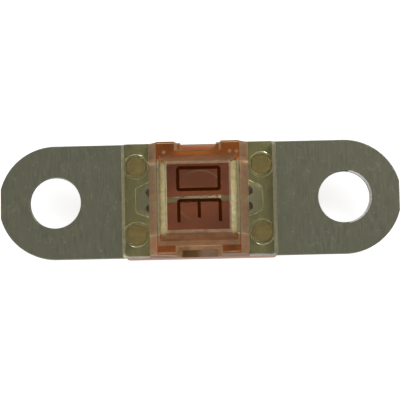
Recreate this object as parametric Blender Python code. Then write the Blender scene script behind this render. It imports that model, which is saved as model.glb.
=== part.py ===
"""Bolt-down strip fuse with a clear cover, for two studs.

A stamped metal strip carries the current. Its narrow middle, the link, melts when the current is too high.
A coloured base closes the link in from below and a clear cover closes it in from above. Four pegs of the
cover pass through the strip and the base, and their ends are staked over into heads under the base.

Metres, +Z up. X runs along the strip, and the origin is under its middle, on the bottom face of the base.
"""

import math

import bmesh
import bpy

# Strip
HOLE_SPACING = 0.0300  # between the two bolt holes, centre to centre
HOLE_DIAMETER = 0.0053  # bolt hole, for a stud of 5 mm
STRIP_WIDTH = 0.01185
STRIP_THICKNESS = 0.0008
TIP_FLAT = 0.0030  # short straight end of a tab, between its two rounded corners
LINK_LENGTH = 0.0102  # between the inner ends of the tabs
LINK_WIDTH = 0.0006
ROOT_RADIUS = 0.0005  # half-round bite on each side of the link, where it leaves a tab
TAB_CORNER_RADIUS = 0.0003  # inner corners of a tab

# Pegs that hold cover, strip and base together
PEG_DIAMETER = 0.0020
PEG_FROM_TAB_END = 0.0014  # peg's centre from the inner end of its tab
PEG_FROM_EDGE = 0.002425  # peg's centre from the long edge of the strip
PEG_RELIEF_WALL = 0.00006  # thinnest place between the recess around a peg's root and the chamber
PEG_RELIEF_DEPTH = 0.0002
HEAD_LIP = 0.00025  # staked head beyond the peg, all round
HEAD_THICKNESS = 0.0006
HEAD_CHAMFER = 0.00015
HEAD_DEPTH = 0.00015  # from the bottom face of the base up to the head
HEAD_END_WALL = 0.00025  # between the head's seat and the end of the base

# Heights of the housing
BASE_DEPTH = 0.0036  # bottom of the base to underside of the strip
FLANK_HEIGHT = 0.00115  # top of the strip to the low part of the cover, over the tabs
DECK_RISE = 0.00145  # low part of the cover to the deck
WINDOW_RISE = 0.0010  # deck to the top of the window

# Cover, outside
SIDE_OVERHANG = 0.000025  # cover beyond each long edge of the strip
FLANK_END_DRAFT = 0.0003  # lean of the cover's end faces
FLANK_SIDE_DRAFT = 0.00013
FLANK_CORNER_RADIUS = 0.0004
FLANK_FOOT = 0.00015  # upright part of the sides, above the strip
BLOCK_PAST_TAB_END = 0.00005  # foot of the sloped block beyond the inner end of a tab
BLOCK_END_SLOPE = 0.00085  # run of the block's end face, from foot to deck
BLOCK_SIDE_INSET = 0.00013  # deck inside the foot of the cover, on each long side
BLOCK_CORNER_RADIUS = 0.00025
WINDOW_LEDGE = 0.0003  # flat of the deck beside each end of the window
WINDOW_SLOPE_X = 0.0007  # run of the window's sloped ends
WINDOW_SLOPE_Y = 0.0008  # run of its sloped long sides
WINDOW_CHAMFER = 0.0001
WINDOW_CORNER_RADIUS = 0.00015

# Cover and base, inside
SIDE_WALL = 0.002075  # long edge of the strip to the chamber
WINDOW_FOOT_OUT = 0.00055  # foot of the window beyond the chamber, on the long sides
CHAMBER_ROOF = 0.00055
CHAMBER_END_INSET = 0.0001  # end of the window's top to the end of the chamber's roof, seen from above
CHAMBER_SIDE_INSET = 0.00003  # the same on the long sides
CHAMBER_EAVES = 0.0003  # from the roof of the chamber down to its upright long sides
CHAMBER_END_SLOPE = 0.0005  # run of the chamber's end above the recess
CHAMBER_SHOULDER = 0.0004  # rise of that run
CHAMBER_SIDE_DRAFT = 0.00005
CHAMBER_CORNER_RADIUS = 0.0003
HEAD_FLOOR = 0.0005  # between a peg's head and the floor of the chamber

# Vent recess, from the chamber out over each tab
RECESS_REACH = 0.0015  # from the inner end of the tab
RECESS_WIDTH = 0.0027
RECESS_MOUTH = 0.0039  # width at the inner end of the tab
RECESS_CORNER = 0.0002
RECESS_DEPTH = 0.00055

# Notch in the middle of each long side of the cover
NOTCH_TOP_WIDTH = 0.0048
NOTCH_BOTTOM_WIDTH = 0.0043
NOTCH_DEPTH = 0.00105
NOTCH_STEP_WIDTH = 0.0037  # lower, shallower part
NOTCH_STEP_DEPTH = 0.000725
NOTCH_STEP_HEIGHT = 0.00055  # top of the strip to that step

# Base, outside
BASE_SIDE_INSET = 0.000075  # base inside each long edge of the strip
BASE_CORNER_RADIUS = 0.0005
BASE_FOOT_CHAMFER = 0.00015

FIT = 0.00005  # clearance between neighbouring pieces, on each side
CUT_PAST = 0.001  # how far a cutter runs past the surface that it opens
OVERLAP = 0.0004  # how far one joined shape starts inside the other

CORNER_STEPS = 5
TIP_STEPS = 24
HOLE_STEPS = 64
PEG_STEPS = 32

# Worked out from the sizes above
SIDES = (-1, 1)
STRIP_BOTTOM = BASE_DEPTH
STRIP_TOP = STRIP_BOTTOM + STRIP_THICKNESS
COVER_BOTTOM = STRIP_TOP + FIT
FLANK_TOP = STRIP_TOP + FLANK_HEIGHT
DECK_TOP = FLANK_TOP + DECK_RISE
WINDOW_TOP = DECK_TOP + WINDOW_RISE
BASE_TOP = STRIP_BOTTOM - FIT
HALF_STRIP = STRIP_WIDTH / 2
HOLE_X = HOLE_SPACING / 2
TAB_END = LINK_LENGTH / 2
PEG_X = TAB_END + PEG_FROM_TAB_END
PEG_Y = HALF_STRIP - PEG_FROM_EDGE
PEG_RADIUS = PEG_DIAMETER / 2
PEG_PLACES = [(along * PEG_X, across * PEG_Y) for along in SIDES for across in SIDES]
RELIEF_RADIUS = PEG_FROM_TAB_END - PEG_RELIEF_WALL
HEAD_RADIUS = PEG_RADIUS + HEAD_LIP
HOUSING_END = PEG_X + HEAD_RADIUS + FIT + HEAD_END_WALL
COVER_SIDE = HALF_STRIP + SIDE_OVERHANG
DECK_SIDE = COVER_SIDE - BLOCK_SIDE_INSET
BLOCK_FOOT = TAB_END + BLOCK_PAST_TAB_END
DECK_END = BLOCK_FOOT - BLOCK_END_SLOPE
CHAMBER_SIDE = HALF_STRIP - SIDE_WALL
WINDOW_FOOT = DECK_END - WINDOW_LEDGE
WINDOW_END = WINDOW_FOOT - WINDOW_SLOPE_X
WINDOW_SIDE = CHAMBER_SIDE + WINDOW_FOOT_OUT - WINDOW_SLOPE_Y
RECESS_ROOF = COVER_BOTTOM + RECESS_DEPTH
NOTCH_STEP_TOP = STRIP_TOP + NOTCH_STEP_HEIGHT
HEAD_TOP = HEAD_DEPTH + HEAD_THICKNESS
CHAMBER_FLOOR = HEAD_TOP + FIT + HEAD_FLOOR
BASE_SIDE = HALF_STRIP - BASE_SIDE_INSET


def clear_scene():
    for item in list(bpy.data.objects):
        bpy.data.objects.remove(item, do_unlink=True)


def material(name, colour, roughness, metallic=0.0, alpha=1.0):
    made = bpy.data.materials.new(name)
    made.use_nodes = True
    shader = made.node_tree.nodes["Principled BSDF"]
    shader.inputs["Base Color"].default_value = (*colour, 1.0)
    shader.inputs["Roughness"].default_value = roughness
    shader.inputs["Metallic"].default_value = metallic
    shader.inputs["Alpha"].default_value = alpha
    made.diffuse_color = (*colour, alpha)
    return made


def rounded_rectangle(half_x, half_y, radius):
    """Points of a rectangle with round corners, counter-clockwise."""
    points = []
    for quarter in range(4):
        centre_x = (half_x - radius) * (1 if quarter in (0, 3) else -1)
        centre_y = (half_y - radius) * (1 if quarter in (0, 1) else -1)
        for step in range(CORNER_STEPS + 1):
            angle = math.radians(90) * (quarter + step / CORNER_STEPS)
            points.append((centre_x + radius * math.cos(angle), centre_y + radius * math.sin(angle)))
    return points


def rectangle(low_x, high_x, low_y, high_y):
    return [(low_x, low_y), (high_x, low_y), (high_x, high_y), (low_x, high_y)]


def circle(centre, radius, steps):
    turn = 2 * math.pi / steps
    return [
        (centre[0] + radius * math.cos(turn * step), centre[1] + radius * math.sin(turn * step))
        for step in range(steps)
    ]


def arc(centre, radius, start_deg, end_deg, steps):
    points = []
    for step in range(steps + 1):
        angle = math.radians(start_deg + (end_deg - start_deg) * step / steps)
        points.append((centre[0] + radius * math.cos(angle), centre[1] + radius * math.sin(angle)))
    return points


def mirrored_outline(quadrant):
    """Whole outline, counter-clockwise, from the points of its +X +Y quadrant, which run clockwise."""
    upper_right = list(reversed(quadrant))
    upper_left = [(-x, y) for x, y in quadrant]
    lower_left = [(-x, -y) for x, y in upper_right]
    lower_right = [(x, -y) for x, y in quadrant]
    return upper_right + upper_left + lower_left + lower_right


def add_loft(bm, levels):
    """Closed skin through outlines with equally many points, given with their heights from bottom to top."""
    rings = [[bm.verts.new((x, y, z)) for x, y in outline] for outline, z in levels]
    for low, high in zip(rings, rings[1:]):
        for here in range(len(low)):
            after = (here + 1) % len(low)
            bm.faces.new((low[here], low[after], high[after], high[here]))
    bm.faces.new(list(reversed(rings[0])))
    bm.faces.new(rings[-1])


def solid(name, *lofts):
    """Object made of one closed skin for each list of levels."""
    bm = bmesh.new()
    for levels in lofts:
        add_loft(bm, levels)
    mesh = bpy.data.meshes.new(name)
    bm.to_mesh(mesh)
    bm.free()
    mesh.shade_smooth()
    mesh.set_sharp_from_angle(angle=math.radians(30))
    item = bpy.data.objects.new(name, mesh)
    bpy.context.scene.collection.objects.link(item)
    return item


def combine(target, tool, operation):
    """Boolean of a solid and a tool that stays in the scene as a hidden guide."""
    step = target.modifiers.new(tool.name, "BOOLEAN")
    step.operation = operation
    step.solver = "EXACT"
    step.object = tool
    tool.hide_render = True
    tool.display_type = "WIRE"


def cut(target, tool):
    combine(target, tool, "DIFFERENCE")


def join(target, tool):
    combine(target, tool, "UNION")


def strip_quadrant():
    """Stamped outline from the middle of the link to the middle of the tab's outer end."""
    half_link = LINK_WIDTH / 2
    bite = (TAB_END, half_link + ROOT_RADIUS)
    corner = (TAB_END + TAB_CORNER_RADIUS, HALF_STRIP - TAB_CORNER_RADIUS)
    flat_angle = math.degrees(math.asin(TIP_FLAT / 2 / HALF_STRIP))
    return (
        [(0.0, half_link)]
        + arc(bite, ROOT_RADIUS, -90, 90, 2 * CORNER_STEPS)
        + arc(corner, TAB_CORNER_RADIUS, 180, 90, CORNER_STEPS)
        + arc((HOLE_X, 0.0), HALF_STRIP, 90, flat_angle, TIP_STEPS)
    )


def strip_outline():
    """Whole stamped outline, with the point that both halves of the link share kept once."""
    points = mirrored_outline(strip_quadrant())
    return [point for place, point in enumerate(points) if point != points[place - 1]]


def make_fuse_strip():
    strip = solid("fuse_strip", [(strip_outline(), STRIP_BOTTOM), (strip_outline(), STRIP_TOP)])
    low, high = STRIP_BOTTOM - CUT_PAST, STRIP_TOP + CUT_PAST
    places = [((side * HOLE_X, 0.0), HOLE_DIAMETER / 2, HOLE_STEPS) for side in SIDES]
    places += [(place, PEG_RADIUS + FIT, PEG_STEPS) for place in PEG_PLACES]
    holes = [[(circle(*place), low), (circle(*place), high)] for place in places]
    cut(strip, solid("strip_holes", *holes))
    strip.data.materials.append(material("stamped_metal", (0.115, 0.117, 0.085), 0.42, metallic=0.9))
    return strip


def recess_outline():
    """Chamber's narrow extension over both tabs, seen from above."""
    far = TAB_END + RECESS_REACH
    half = RECESS_WIDTH / 2
    return mirrored_outline(
        [(TAB_END, RECESS_MOUTH / 2), (far - RECESS_CORNER, half), (far, half - RECESS_CORNER)]
    )


def chamber_ring(end, side):
    return rounded_rectangle(end, side, CHAMBER_CORNER_RADIUS)


def block_level(height):
    """Outline of the sloped block at a height."""
    share = (DECK_TOP - height) / DECK_RISE
    end = DECK_END + share * BLOCK_END_SLOPE
    return rounded_rectangle(end, DECK_SIDE, BLOCK_CORNER_RADIUS), height


def window_level(height):
    """Outline of the window's sloped rim at a height."""
    share = (WINDOW_TOP - height) / WINDOW_RISE
    end = WINDOW_END + share * WINDOW_SLOPE_X
    side = WINDOW_SIDE + share * WINDOW_SLOPE_Y
    return rounded_rectangle(end, side, WINDOW_CORNER_RADIUS), height


def cover_shell():
    """Low plate over the tabs, sloped block and window, joined."""
    foot = rounded_rectangle(HOUSING_END, COVER_SIDE, FLANK_CORNER_RADIUS)
    top = rounded_rectangle(
        HOUSING_END - FLANK_END_DRAFT, COVER_SIDE - FLANK_SIDE_DRAFT, FLANK_CORNER_RADIUS
    )
    plate = [(foot, STRIP_BOTTOM), (foot, COVER_BOTTOM + FLANK_FOOT), (top, FLANK_TOP)]
    cover = solid("cover", plate)
    block = [block_level(FLANK_TOP - OVERLAP), block_level(DECK_TOP)]
    join(cover, solid("cover_block", block))
    pane = rounded_rectangle(
        WINDOW_END - WINDOW_CHAMFER, WINDOW_SIDE - WINDOW_CHAMFER, WINDOW_CORNER_RADIUS
    )
    window = [
        window_level(DECK_TOP - OVERLAP),
        window_level(WINDOW_TOP - WINDOW_CHAMFER),
        (pane, WINDOW_TOP),
    ]
    join(cover, solid("cover_window", window))
    return cover


def tab_slot(side):
    """Room for one tab of the strip under the cover."""
    ends = sorted((side * (TAB_END - FIT), side * (HOUSING_END + CUT_PAST)))
    outline = rectangle(*ends, -COVER_SIDE - CUT_PAST, COVER_SIDE + CUT_PAST)
    return [(outline, STRIP_BOTTOM - CUT_PAST), (outline, COVER_BOTTOM)]


def chamber_levels():
    """Hollow over the link: its ends lean in twice towards the window, its long sides only under the roof."""
    side = CHAMBER_SIDE - CHAMBER_SIDE_DRAFT
    roof_end, roof_side = WINDOW_END - CHAMBER_END_INSET, WINDOW_SIDE - CHAMBER_SIDE_INSET
    deck_end = DECK_END - CHAMBER_ROOF
    eaves_end = roof_end + (deck_end - roof_end) * CHAMBER_EAVES / WINDOW_RISE
    roof = WINDOW_TOP - CHAMBER_ROOF
    return [
        (chamber_ring(TAB_END, CHAMBER_SIDE), STRIP_BOTTOM - CUT_PAST),
        (chamber_ring(TAB_END, CHAMBER_SIDE), RECESS_ROOF),
        (chamber_ring(TAB_END - CHAMBER_END_SLOPE, side), RECESS_ROOF + CHAMBER_SHOULDER),
        (chamber_ring(deck_end, side), DECK_TOP - CHAMBER_ROOF),
        (chamber_ring(eaves_end, side), roof - CHAMBER_EAVES),
        (chamber_ring(roof_end, roof_side), roof),
    ]


def notch_outline(side, width, depth):
    """Edge-open rectangle in one long side of the cover, seen from above."""
    edges = sorted((side * (COVER_SIDE - depth), side * (COVER_SIDE + CUT_PAST)))
    return rectangle(-width / 2, width / 2, *edges)


def notch_levels(side):
    """Upper part of a notch, which widens towards the deck."""
    height = DECK_TOP - NOTCH_STEP_TOP
    widening = (NOTCH_TOP_WIDTH - NOTCH_BOTTOM_WIDTH) / height
    width_past_deck = NOTCH_TOP_WIDTH + widening * CUT_PAST
    return [
        (notch_outline(side, NOTCH_BOTTOM_WIDTH, NOTCH_DEPTH), NOTCH_STEP_TOP),
        (notch_outline(side, width_past_deck, NOTCH_DEPTH), DECK_TOP + CUT_PAST),
    ]


def notch_step_levels(side):
    """Lower part of a notch, down to the base."""
    outline = notch_outline(side, NOTCH_STEP_WIDTH, NOTCH_STEP_DEPTH)
    return [(outline, STRIP_BOTTOM - CUT_PAST), (outline, NOTCH_STEP_TOP + OVERLAP)]


def peg_levels(place):
    """One peg from inside the cover down to its staked head."""
    return [
        (circle(place, HEAD_RADIUS - HEAD_CHAMFER, PEG_STEPS), HEAD_DEPTH),
        (circle(place, HEAD_RADIUS, PEG_STEPS), HEAD_DEPTH + HEAD_CHAMFER),
        (circle(place, HEAD_RADIUS, PEG_STEPS), HEAD_TOP),
        (circle(place, PEG_RADIUS, PEG_STEPS), HEAD_TOP),
        (circle(place, PEG_RADIUS, PEG_STEPS), FLANK_TOP - OVERLAP),
    ]


def make_cover():
    cover = cover_shell()
    cut(cover, solid("cover_tab_slots", *[tab_slot(side) for side in SIDES]))
    cut(cover, solid("cover_chamber", chamber_levels()))
    recess = [(recess_outline(), STRIP_BOTTOM - CUT_PAST), (recess_outline(), RECESS_ROOF)]
    cut(cover, solid("cover_recess", recess))
    reliefs = [
        [
            (circle(place, RELIEF_RADIUS, PEG_STEPS), COVER_BOTTOM - OVERLAP),
            (circle(place, RELIEF_RADIUS, PEG_STEPS), COVER_BOTTOM + PEG_RELIEF_DEPTH),
        ]
        for place in PEG_PLACES
    ]
    cut(cover, solid("cover_peg_reliefs", *reliefs))
    cut(cover, solid("cover_notches", *[notch_levels(side) for side in SIDES]))
    cut(cover, solid("cover_notch_steps", *[notch_step_levels(side) for side in SIDES]))
    join(cover, solid("cover_pegs", *[peg_levels(place) for place in PEG_PLACES]))
    cover.data.materials.append(material("clear_plastic", (0.82, 0.80, 0.55), 0.12, alpha=0.35))
    return cover


def peg_hole_levels(place):
    """Hole for a peg with a wider seat for its head below."""
    seat = HEAD_RADIUS + FIT
    hole = PEG_RADIUS + FIT
    return [
        (circle(place, seat, PEG_STEPS), -CUT_PAST),
        (circle(place, seat, PEG_STEPS), HEAD_TOP + FIT),
        (circle(place, hole, PEG_STEPS), HEAD_TOP + FIT),
        (circle(place, hole, PEG_STEPS), BASE_TOP + CUT_PAST),
    ]


def make_base():
    foot = rounded_rectangle(
        HOUSING_END - BASE_FOOT_CHAMFER, BASE_SIDE - BASE_FOOT_CHAMFER, BASE_CORNER_RADIUS
    )
    full = rounded_rectangle(HOUSING_END, BASE_SIDE, BASE_CORNER_RADIUS)
    base = solid("base", [(foot, 0.0), (full, BASE_FOOT_CHAMFER), (full, BASE_TOP)])
    ring = chamber_ring(TAB_END, CHAMBER_SIDE)
    cut(base, solid("base_chamber", [(ring, CHAMBER_FLOOR), (ring, BASE_TOP + CUT_PAST)]))
    recess = [(recess_outline(), BASE_TOP - RECESS_DEPTH), (recess_outline(), BASE_TOP + CUT_PAST)]
    cut(base, solid("base_recess", recess))
    cut(base, solid("base_peg_holes", *[peg_hole_levels(place) for place in PEG_PLACES]))
    base.data.materials.append(material("coloured_plastic", (0.36, 0.085, 0.035), 0.45))
    return base


def main():
    clear_scene()
    make_fuse_strip()
    make_cover()
    make_base()


main()
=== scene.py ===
"""Finish of a bolt-down strip fuse: stamped strip, coloured base, clear cover and printed rating.

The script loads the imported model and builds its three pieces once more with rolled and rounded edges,
moulding marks and worked surfaces. Sizes are in metres and colours are linear. X runs along the strip
and Z up. The near side of the fuse is towards -Y, where the camera stands, and the far side towards +Y.
"""

import math

import bmesh
import bpy
from bpy.props import FloatProperty, FloatVectorProperty, PointerProperty
from bpy.types import Operator, Panel, PropertyGroup
from mathutils import Matrix, Vector


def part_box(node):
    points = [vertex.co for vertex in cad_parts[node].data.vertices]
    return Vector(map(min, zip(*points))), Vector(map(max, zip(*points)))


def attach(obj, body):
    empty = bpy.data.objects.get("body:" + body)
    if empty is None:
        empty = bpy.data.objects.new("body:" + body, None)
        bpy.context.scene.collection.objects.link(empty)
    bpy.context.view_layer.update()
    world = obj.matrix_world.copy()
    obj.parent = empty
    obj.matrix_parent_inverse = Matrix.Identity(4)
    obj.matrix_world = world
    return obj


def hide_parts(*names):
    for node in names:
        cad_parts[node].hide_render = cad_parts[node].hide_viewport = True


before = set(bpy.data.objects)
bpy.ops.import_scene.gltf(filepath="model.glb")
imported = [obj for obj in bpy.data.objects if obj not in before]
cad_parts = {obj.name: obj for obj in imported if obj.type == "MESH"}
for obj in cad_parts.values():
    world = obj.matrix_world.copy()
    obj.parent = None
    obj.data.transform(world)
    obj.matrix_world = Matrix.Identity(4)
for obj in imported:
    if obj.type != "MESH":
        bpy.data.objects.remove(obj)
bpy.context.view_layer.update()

bl_info = {
    "name": "Bolt-down strip fuse",
    "version": (1, 0, 0),
    "blender": (4, 5, 0),
    "location": "3D View > Sidebar > Strip fuse",
    "description": "Builds the finished pieces of a bolt-down strip fuse, its floor, lamps and camera",
    "category": "Object",
}

MM = 0.001
SIDES = (-1, 1)
ALONG, ACROSS, UP = (1.0, 0.0, 0.0), (0.0, 1.0, 0.0), (0.0, 0.0, 1.0)

# Tests on faces: how close to its plane a flat face lies, how far around its place a face is looked for,
# and the upward part of the normal on level, nearly level and sloped faces
FLAT = 0.001 * MM
NEARBY = 0.1 * MM
LEVEL = 0.999
NEARLY_LEVEL = 0.985
SLOPED = (0.3, 0.9)

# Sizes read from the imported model
STRIP_LOW, STRIP_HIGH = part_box("fuse_strip")
COVER_LOW, COVER_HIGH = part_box("cover")
BASE_LOW, BASE_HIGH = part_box("base")
STRIP_BOTTOM = STRIP_LOW[2]
STRIP_TOP = STRIP_HIGH[2]
HALF_STRIP = STRIP_HIGH[1]
HOUSING_END = COVER_HIGH[0]
COVER_SIDE = COVER_HIGH[1]
WINDOW_TOP = COVER_HIGH[2]
HEAD_DEPTH = COVER_LOW[2]
BASE_SIDE = BASE_HIGH[1] + 0.09 * MM  # past the solid, so that no floor shows through the cover beside it

# Strip
HOLE_X = 15 * MM
HOLE_RADIUS = 2.65 * MM
TIP_FLAT = 3 * MM
TAB_END = 5.1 * MM  # inner end of a tab, where the link starts
HALF_LINK = 0.3 * MM
ROOT_RADIUS = 0.5 * MM
TAB_CORNER_RADIUS = 0.3 * MM
WEAR_START = HOLE_X + 0.5 * MM  # the worn crescent at the right hole lies past this

# Burr on one edge of the link
BURR_START = -3.1 * MM
BURR_END = 2.6 * MM
BURR_STEPS = 190
BURR_HEIGHT = 0.13 * MM
BURR_WIDTH = 0.36 * MM
BURR_OUT = 0.16 * MM
BURR_SINK = 0.01 * MM
BURR_FOOT = 0.1 * MM  # how far the ridge reaches down the side of the link

# Clearance between the pieces, and how far cutting and joined shapes run past their faces
FIT = 0.05 * MM
CUT_PAST = 1 * MM
OVERLAP = 0.4 * MM
MERGE_DISTANCE = 0.0005 * MM

# Pegs with their staked heads, and the shallow recess around each peg's root
PEG_RADIUS = 1 * MM
PEG_FROM_TAB_END = 1.4 * MM
PEG_FILLET = 0.08 * MM
PEG_X = TAB_END + PEG_FROM_TAB_END
PEG_Y = HALF_STRIP - 2.425 * MM
PEG_PLACES = [(along * PEG_X, across * PEG_Y) for along in SIDES for across in SIDES]
RELIEF_RADIUS = PEG_FROM_TAB_END - 0.06 * MM
RELIEF_DEPTH = 0.2 * MM
HEAD_RADIUS = PEG_RADIUS + 0.25 * MM
HEAD_TOP = HEAD_DEPTH + 0.6 * MM
HEAD_CHAMFER = 0.15 * MM

# Cover, outside
COVER_BOTTOM = STRIP_TOP + FIT
FLANK_TOP = STRIP_TOP + 1.15 * MM
DECK_TOP = FLANK_TOP + 1.45 * MM
FLANK_END_DRAFT = 0.3 * MM
FLANK_SIDE_DRAFT = 0.13 * MM
FLANK_CORNER_RADIUS = 0.4 * MM
FLANK_FOOT = 0.15 * MM
BLOCK_FOOT = TAB_END + 0.05 * MM
BLOCK_END_SLOPE = 0.85 * MM
DECK_END = BLOCK_FOOT - BLOCK_END_SLOPE
DECK_SIDE = COVER_SIDE - 0.13 * MM
BLOCK_CORNER_RADIUS = 0.25 * MM
WINDOW_FOOT = DECK_END - 0.3 * MM
WINDOW_SLOPE_X = 0.7 * MM
WINDOW_SLOPE_Y = 0.8 * MM
WINDOW_END = WINDOW_FOOT - WINDOW_SLOPE_X
WINDOW_CORNER_RADIUS = 0.15 * MM

# Cover and base, inside
CHAMBER_SIDE = HALF_STRIP - 2.075 * MM
WINDOW_SIDE = CHAMBER_SIDE + 0.55 * MM - WINDOW_SLOPE_Y
CHAMBER_ROOF = 0.55 * MM
CHAMBER_TOP = WINDOW_TOP - CHAMBER_ROOF
CHAMBER_EAVES = 0.3 * MM
CHAMBER_DRAFT = 0.05 * MM
CHAMBER_END_INSET = 0.1 * MM
CHAMBER_SIDE_INSET = 0.03 * MM
CHAMBER_END_SLOPE = 0.5 * MM
CHAMBER_SHOULDER = 0.4 * MM
CHAMBER_CORNER_RADIUS = 0.3 * MM
RECESS_REACH = 1.5 * MM
RECESS_HALF = 1.35 * MM
RECESS_MOUTH_HALF = 1.95 * MM
RECESS_CORNER = 0.2 * MM
RECESS_DEPTH = 0.55 * MM
RECESS_ROOF = COVER_BOTTOM + RECESS_DEPTH
CHAMBER_FLOOR = HEAD_TOP + FIT + 0.5 * MM

# Notch in the middle of each long side of the cover
NOTCH_TOP_WIDTH = 4.8 * MM
NOTCH_BOTTOM_WIDTH = 4.3 * MM
NOTCH_DEPTH = 1.05 * MM
NOTCH_STEP_WIDTH = 3.7 * MM
NOTCH_STEP_DEPTH = 0.725 * MM
NOTCH_STEP_TOP = STRIP_TOP + 0.55 * MM

# Base, outside
BASE_TOP = STRIP_BOTTOM - FIT
BASE_CORNER_RADIUS = 0.5 * MM
BASE_FOOT_RADIUS = 0.15 * MM

# Rounding of the cover's edges
COVER_ROUNDING = 0.1 * MM

# Where the cover's finish changes: lines across and along the sloped ends, and edges painted with highlights
# and shade
PAINTED_LINE_FAR = HALF_STRIP - 1.9 * MM
PAINTED_LINE_NEAR = PAINTED_LINE_FAR - 0.2 * MM
PAINTED_LINE_WIDTH = 0.12 * MM
SLOPE_LINE = BLOCK_FOOT - 0.09 * MM
PAINTED_EDGE_DECK = DECK_SIDE - 0.28 * MM
PAINTED_EDGE_SIDE = DECK_TOP - 1.3 * MM
WINDOW_LINE = WINDOW_SIDE - 0.24 * MM

# Moulding marks
EJECTOR_CENTRE = (0.19 * MM, 0.11 * MM)
EJECTOR_RADIUS = 2.6 * MM
EJECTOR_WIDTH = 0.07 * MM
EJECTOR_DEPTH = 0.03 * MM
EJECTOR_ARCS = ((28, 122), (203, 246))  # start and end of each, in degrees
DIMPLE_SIZE = 0.24 * MM
DIMPLE_TIP = 0.02 * MM
DIMPLE_PLACES = [
    (-3.44 * MM, 4.72 * MM), (3.99 * MM, 4.68 * MM), (3.3 * MM, 4.7 * MM),
    (-3.34 * MM, -4.63 * MM), (3.36 * MM, -4.54 * MM),
]

# Digits on the window: middle and half sizes of the nought, free ends of the three's strokes, and its spine
ZERO_CENTRE = (0.07 * MM, 1.84 * MM)
ZERO_HALF = (2.1 * MM, 1.11 * MM)
THREE_LEFT = (-1.975 * MM, -2.6 * MM)
THREE_MIDDLE = (0.105 * MM, -2.15 * MM)
THREE_RIGHT = (2.235 * MM, -2.56 * MM)
THREE_SPINE = -0.39 * MM
ZERO_CORNER = 0.16 * MM
THREE_CORNER = 0.18 * MM
INK_GAP = 0.001 * MM

# Straight pieces in a quarter circle, a tab's end, a hole, a peg and a rounded rim
CORNER_STEPS = 8
TIP_STEPS = 56
HOLE_STEPS = 112
PEG_STEPS = 64
RIM_STEPS = 4

# Changes of colour on the strip and the base, as ranges in millimetres over which they start or fade
LINK_COLOUR_END = (4.6, 5.2)
NOTCH_PAINT_NEAR_Y = (-5.25, -5.05)
NOTCH_PAINT_FAR_Y = (5.5, 5.95)
NOTCH_PAINT_HALF_WIDTH = (1.75, 1.95)
NOTCH_PAINT_BELOW_TOP = (-0.25, -0.1)
DARK_SPOT_X = (-0.6, 0.4)
SHADED_SIDE = (-0.08, -0.02)

# Photograph and camera
PHOTO_WIDTH = 400
PHOTO_PIXELS_PER_MM = 9.635  # at the top of the strip
PHOTO_SHIFT = (0.743, -0.294)  # pixels by which the frame is moved
CAMERA_FROM = (0.034, -0.095, 1.0)
CAMERA_ROLL = math.radians(-1.32)

# Lamps: where each one shines from, and its width
LAMP_DISTANCE = 0.5
KEY_FROM, KEY_SIZE = (0.55, 0.75, 0.75), 0.25
FILL_FROM, FILL_SIZE = (-0.6, -0.7, 0.6), 0.3

# Floor: its height, and how much white a camera ray and a mirrored ray add to it
FLOOR_TOP = -0.02 * MM
FLOOR_SEEN = 0.7
FLOOR_MIRRORED = 0.3

# Materials
BUMP_DISTANCE = 0.02 * MM
COVER_SHADOW = (0.96, 0.95, 0.88, 1.0)  # colour of the light that the clear plastic lets through
CLOUDY_AND_PAINTED_SHADOW = (0.8, 0.76, 0.66, 1.0)

# Places in the strip's list of materials, after its dull metal
BURR_HIGHLIGHT, RUBBED = 1, 2

# Finishes of the cover's faces, with its painted highlights, reflections and shade, in the order of its
# materials
CLEAR, END_WALL_REFLECTION, STAKED_HEAD, PAINTED_EDGE, SLOPE_PAINTED_LIGHT, PAINTED_HIGHLIGHT, WINDOW_RIM_SHADE, HAZY, NEAR_SIDE_SHADE = range(9)
CLOUDY_AND_PAINTED_FINISHES = (  # name, dark and light colour, share of clearness, gloss
    # Pale opaque end walls: a painted reflection of the bright surroundings, seen as bright bars at the
    # window's ends
    ("end_walls_painted_reflection", (0.52, 0.47, 0.29), (0.73, 0.65, 0.46), 0.0, 0.5),
    ("staked_heads", (0.62, 0.54, 0.7), (0.84, 0.75, 0.93), 0.5, 0.5),
    # Brown edges: painted highlights and shade on the notches, the window's edges, the near deck edge, the
    # tops of the block's sides, the dimples and the ejector mark
    ("painted_edge_light_and_shade", (0.32, 0.19, 0.1), (0.55, 0.35, 0.2), 0.4, 0.1),
    # Pale orange on the block's sloped ends: painted light, which brightens them and the dark line beside
    # them
    ("slopes_painted_light", (0.66, 0.46, 0.23), (0.88, 0.65, 0.36), 0.84, 0.5),
    # Pale lines: painted highlights on the plate's ends, the slopes' foot and lines, the deck beside the
    # window's ends and the far long sides
    ("painted_highlights", (0.44, 0.4, 0.25), (0.65, 0.59, 0.4), 0.75, 0.3),
    # Dark brown on the window's sloped long sides: painted shade in place of the bright bands seen through
    # them
    ("window_rims_painted_shade", (0.2, 0.088, 0.025), (0.32, 0.14, 0.045), 0.6, 0.0),
    ("hazy_deck", (0.36, 0.27, 0.14), (0.5, 0.36, 0.19), 0.7, 0.1),
    # Dark brown on the near long sides: painted shade, which also darkens the ears behind them
    ("near_sides_painted_shade", (0.22, 0.15, 0.08), (0.34, 0.24, 0.13), 0.75, 0.0),
)


class StripLook(PropertyGroup):
    edge_round: FloatProperty(
        name="Edge rounding", description="Radius on the strip's stamped edges",
        default=0.08 * MM, unit="LENGTH",
    )
    hole_wear: FloatProperty(
        name="Hole wear", description="Width of the worn crescent at the right hole",
        default=0.22 * MM, unit="LENGTH",
    )
    colour: FloatVectorProperty(
        name="Metal colour", description="Colour of the dull metal",
        default=(0.283, 0.281, 0.199), subtype="COLOR",
    )
    link: FloatVectorProperty(
        name="Link colour", description="Colour of the link in the chamber",
        default=(0.46, 0.38, 0.25), subtype="COLOR",
    )
    roughness: FloatProperty(
        name="Roughness", description="How matt the metal is", default=0.42, subtype="FACTOR"
    )


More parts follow.
